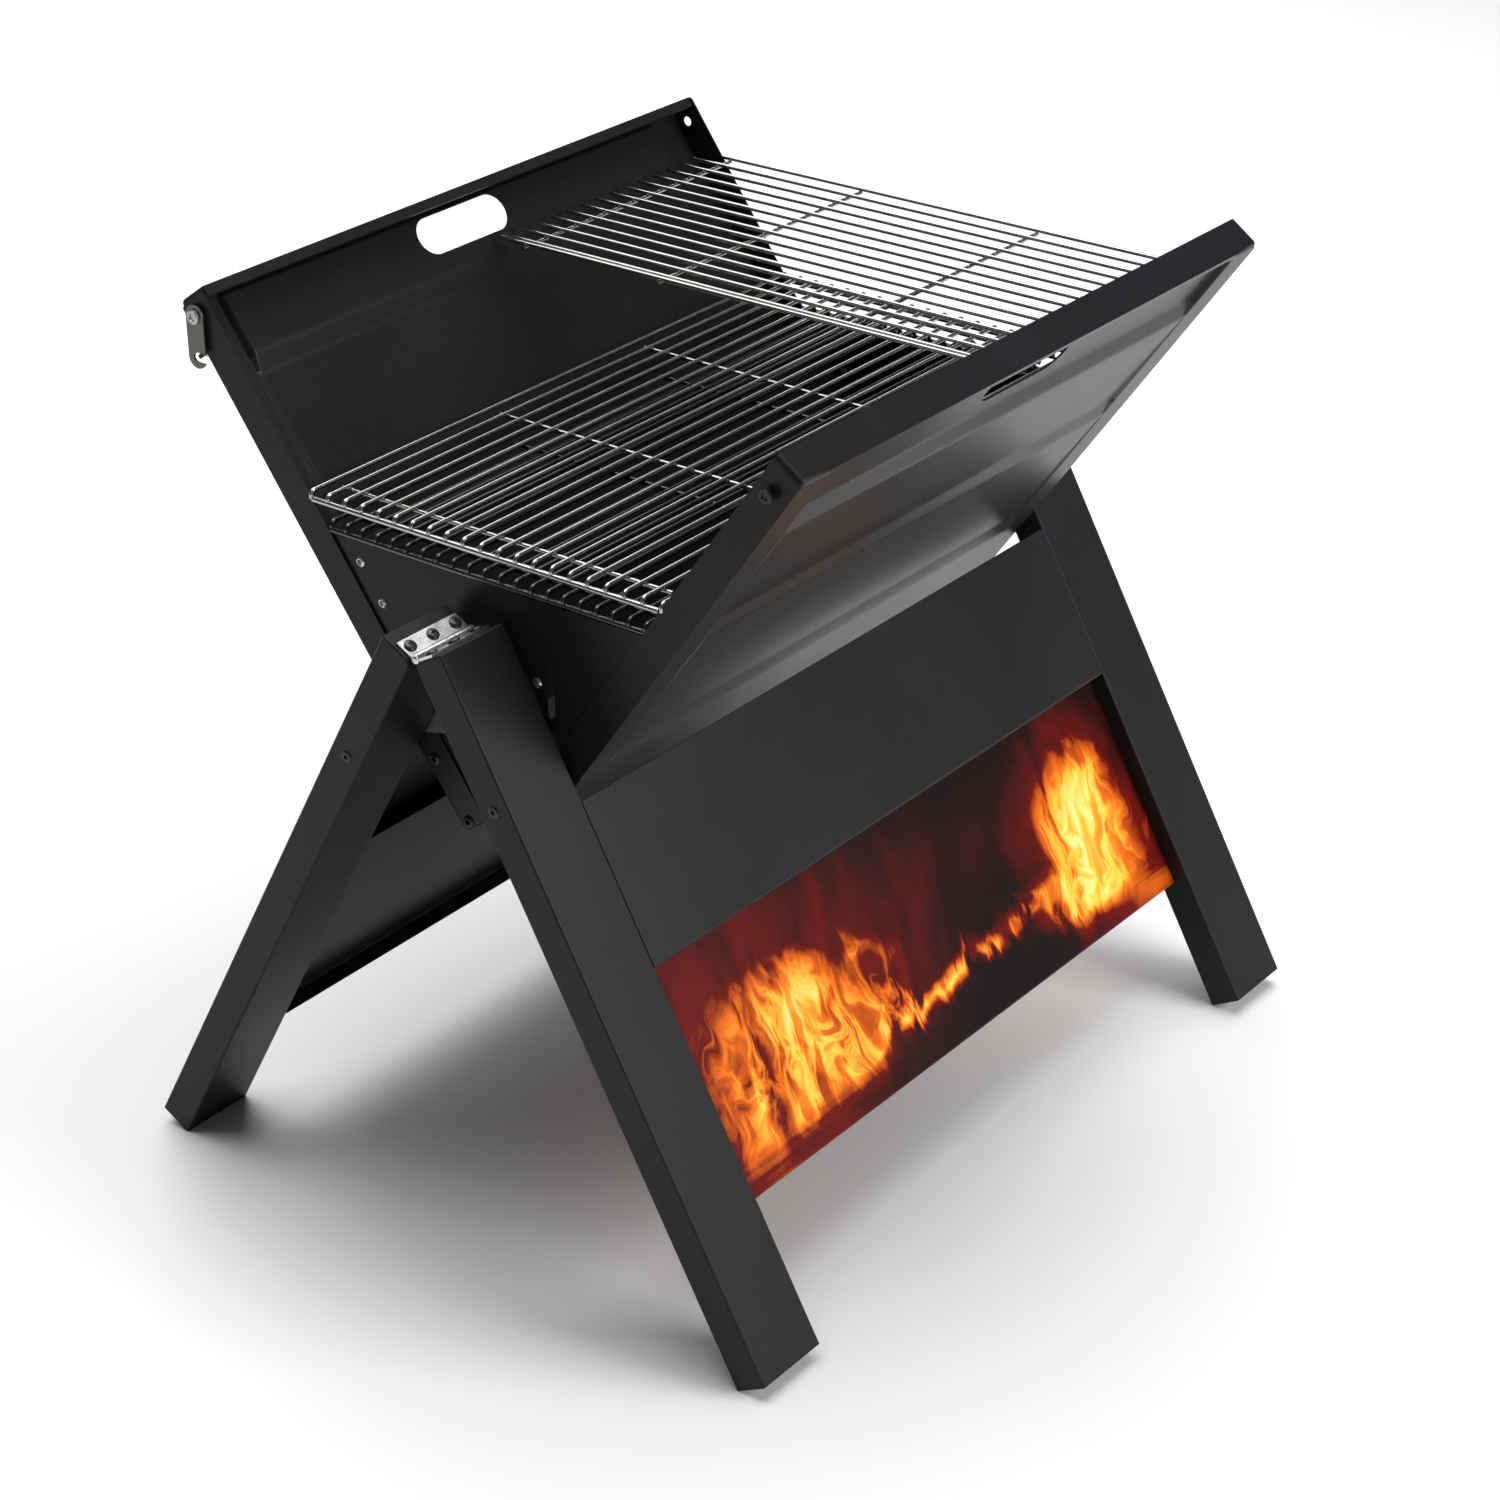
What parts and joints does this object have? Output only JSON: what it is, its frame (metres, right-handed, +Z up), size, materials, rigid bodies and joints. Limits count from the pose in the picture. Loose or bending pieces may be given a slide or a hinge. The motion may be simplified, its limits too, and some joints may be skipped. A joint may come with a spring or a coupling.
{
  "type": "folding charcoal grill",
  "caption": "Folding steel charcoal grill: two hinged leg frames carry a V-shaped trough of two pans with a charcoal tray, cooking grates and a warming rack.",
  "frame": {"origin": "centre of the footprint, on the floor under the open grill", "axes": "+X along the leg hinges, -Y towards the side with the flame panel, +Z up"},
  "size_m": [0.6218, 0.5212, 0.5973],
  "materials": {
    "leg": "satin powder coat with a light orange peel",
    "sheet_coat": "satin powder coat",
    "flame_panel": "printed flame graphic under satin lacquer",
    "pan_coat": "satin heat-resistant coat",
    "hinge_steel": "bright zinc plate",
    "black_screw": "black oxide",
    "fastener": "zinc plate",
    "wire": "bright nickel-chrome plate",
    "tray_coat": "black enamel",
    "cap": "moulded"
  },
  "bodies": {
    "rear_frame": {"rear_leg_left": "leg", "rear_leg_right": "leg", "rear_foot_caps": "cap", "rear_apron": "sheet_coat", "rear_panel": "sheet_coat", "rear_hinge_leaves": "hinge_steel", "hinge_pins": "hinge_steel", "rear_hinge_screws": "black_screw", "rear_pivot_bolts": "fastener", "rear_pivot_nuts": "fastener", "rear_spacers": "fastener"},
    "front_frame": {"front_leg_left": "leg", "front_leg_right": "leg", "front_foot_caps": "cap", "front_apron": "sheet_coat", "front_panel": "flame_panel", "front_hinge_leaves": "hinge_steel", "front_hinge_screws": "black_screw", "front_pivot_bolts": "fastener", "front_pivot_nuts": "fastener", "front_spacers": "fastener", "stay_studs": "fastener"},
    "rear_trough": {"rear_pan": "pan_coat", "rear_pan_rivets": "fastener", "bottom_hinge_rear": "pan_coat", "bottom_hinge_pin": "fastener", "latch_screw": "fastener", "wing_stud": "fastener"},
    "front_trough": {"front_pan": "pan_coat", "front_pan_rivets": "fastener", "bottom_hinge_front": "pan_coat", "catch_stud": "fastener"},
    "left_stay": {"stay_left": "pan_coat"},
    "right_stay": {"stay_right": "pan_coat"},
    "latch": {"latch_strap": "pan_coat"},
    "wing": {"wing_nut": "fastener"},
    "fire_box": {"charcoal_tray": "tray_coat", "end_plate_left": "pan_coat", "end_plate_right": "pan_coat", "tray_rivets": "fastener"},
    "lower_grate": {"charcoal_grate": "wire"},
    "upper_grate": {"cooking_grate": "wire"},
    "top_grate": {"warming_grate": "wire"}
  },
  "joints": [
    {"name": "leg_fold", "type": "hinge", "parent": "rear_frame", "child": "front_frame", "pos_m": [0, 0, 0.43012], "axis": [1, 0, 0], "range_deg": [0, 58]},
    {"name": "rear_pan_fold", "type": "hinge", "parent": "rear_frame", "child": "rear_trough", "pos_m": [0, 0.06003, 0.34677], "axis": [1, 0, 0], "range_deg": [0, 64.7]},
    {"name": "front_pan_fold", "type": "hinge", "parent": "front_frame", "child": "front_trough", "pos_m": [0, -0.06003, 0.34677], "axis": [1, 0, 0], "range_deg": [-64.7, 0]},
    {"name": "left_stay_fold", "type": "hinge", "parent": "rear_frame", "child": "left_stay", "pos_m": [-0.2495, 0.06003, 0.34677], "axis": [1, 0, 0], "range_deg": [-47.2, 0]},
    {"name": "right_stay_fold", "type": "hinge", "parent": "rear_frame", "child": "right_stay", "pos_m": [0.2495, 0.06003, 0.34677], "axis": [1, 0, 0], "range_deg": [-47.2, 0]},
    {"name": "fire_box_lift", "type": "slide", "parent": "rear_frame", "child": "fire_box", "axis": [0, -0.1045, 0.9945], "range_m": [0, 0.82]},
    {"name": "charcoal_grate_lift", "type": "slide", "parent": "rear_frame", "child": "lower_grate", "axis": [0, -0.1045, 0.9945], "range_m": [0, 0.82]},
    {"name": "cooking_grate_lift", "type": "slide", "parent": "rear_frame", "child": "upper_grate", "axis": [0, -0.1045, 0.9945], "range_m": [0, 0.82]},
    {"name": "warming_grate_lift", "type": "slide", "parent": "rear_frame", "child": "top_grate", "axis": [0, -0.1045, 0.9945], "range_m": [0, 0.82]},
    {"name": "latch_swing", "type": "hinge", "parent": "rear_trough", "child": "latch", "pos_m": [-0.2485, 0.22811, 0.57827], "axis": [-1, 0, 0], "range_deg": [-40, 105]},
    {"name": "wing_nut_turn", "type": "hinge", "parent": "rear_trough", "child": "wing", "pos_m": [-0.236, 0.22369, 0.55561], "axis": [0, 0.8131, -0.5821], "continuous": true}
  ],
  "couplings": [
    {"joint": "rear_pan_fold", "follows": "leg_fold", "ratio": 1.1138},
    {"joint": "front_pan_fold", "follows": "leg_fold", "ratio": -1.1138},
    {"joint": "left_stay_fold", "follows": "leg_fold", "ratio": -0.812},
    {"joint": "right_stay_fold", "follows": "leg_fold", "ratio": -0.812},
    {"joint": "fire_box_lift", "follows": "leg_fold", "m_per_rad": 0.8},
    {"joint": "charcoal_grate_lift", "follows": "leg_fold", "m_per_rad": 0.8},
    {"joint": "cooking_grate_lift", "follows": "leg_fold", "m_per_rad": 0.8},
    {"joint": "warming_grate_lift", "follows": "leg_fold", "m_per_rad": 0.8}
  ]
}
